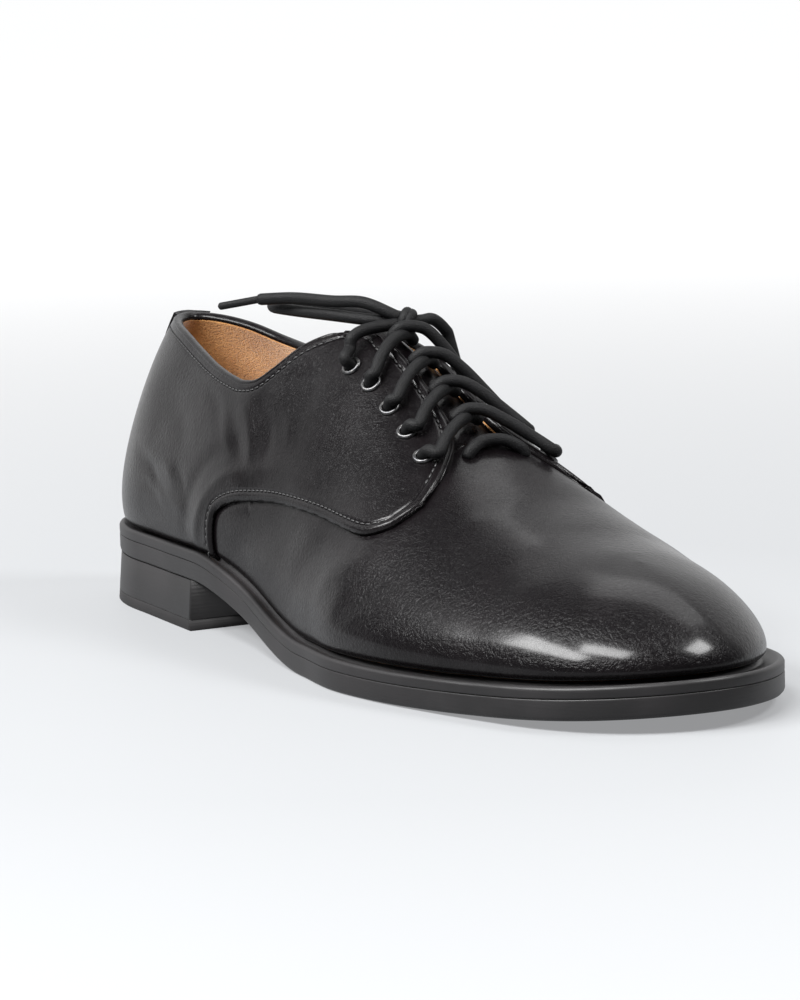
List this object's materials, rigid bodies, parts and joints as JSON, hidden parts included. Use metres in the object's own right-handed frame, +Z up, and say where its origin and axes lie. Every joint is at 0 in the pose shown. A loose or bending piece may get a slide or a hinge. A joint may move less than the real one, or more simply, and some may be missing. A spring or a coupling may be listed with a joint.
{
  "type": "derby shoe",
  "caption": "Plain-toe derby dress shoe for the right foot: open-laced quarters over a long vamp, leather sole and a stacked low heel.",
  "frame": {"origin": "on the floor, under the middle of the shoe's length and width", "axes": "+X to the toe, +Y to the medial (inner) side, +Z up from the floor"},
  "size_m": [0.2988, 0.099, 0.0952],
  "materials": {
    "back_strap": "polished, fine grain",
    "eyelet_lateral_1": "dark nickel",
    "eyelet_lateral_2": "dark nickel",
    "eyelet_lateral_3": "dark nickel",
    "eyelet_lateral_4": "dark nickel",
    "eyelet_lateral_5": "dark nickel",
    "eyelet_medial_1": "dark nickel",
    "eyelet_medial_2": "dark nickel",
    "eyelet_medial_3": "dark nickel",
    "eyelet_medial_4": "dark nickel",
    "eyelet_medial_5": "dark nickel",
    "heel_stack": "blacked and waxed edge",
    "heel_top_piece": "dull",
    "insole": "tan, matt",
    "lace_bar": "round waxed cord",
    "lace_cross_1": "round waxed cord",
    "lace_cross_2": "round waxed cord",
    "lace_cross_3": "round waxed cord",
    "lace_cross_4": "round waxed cord",
    "lace_end": "round waxed cord",
    "lace_knot": "round waxed cord",
    "lace_loop": "round waxed cord",
    "lace_tip": "round waxed cord",
    "lace_top_lateral": "round waxed cord",
    "lace_top_medial": "round waxed cord",
    "outsole": "blacked and waxed edge",
    "tongue": "polished, fine grain",
    "upper": "polished, fine grain",
    "welt": "blacked and waxed edge"
  },
  "bodies": {
    "root": {"back_strap": "back_strap", "eyelet_lateral_1": "eyelet_lateral_1", "eyelet_lateral_2": "eyelet_lateral_2", "eyelet_lateral_3": "eyelet_lateral_3", "eyelet_lateral_4": "eyelet_lateral_4", "eyelet_lateral_5": "eyelet_lateral_5", "eyelet_medial_1": "eyelet_medial_1", "eyelet_medial_2": "eyelet_medial_2", "eyelet_medial_3": "eyelet_medial_3", "eyelet_medial_4": "eyelet_medial_4", "eyelet_medial_5": "eyelet_medial_5", "heel_stack": "heel_stack", "heel_top_piece": "heel_top_piece", "insole": "insole", "lace_bar": "lace_bar", "lace_cross_1": "lace_cross_1", "lace_cross_2": "lace_cross_2", "lace_cross_3": "lace_cross_3", "lace_cross_4": "lace_cross_4", "lace_end": "lace_end", "lace_knot": "lace_knot", "lace_loop": "lace_loop", "lace_tip": "lace_tip", "lace_top_lateral": "lace_top_lateral", "lace_top_medial": "lace_top_medial", "outsole": "outsole", "tongue": "tongue", "upper": "upper", "welt": "welt"}
  },
  "joints": []
}
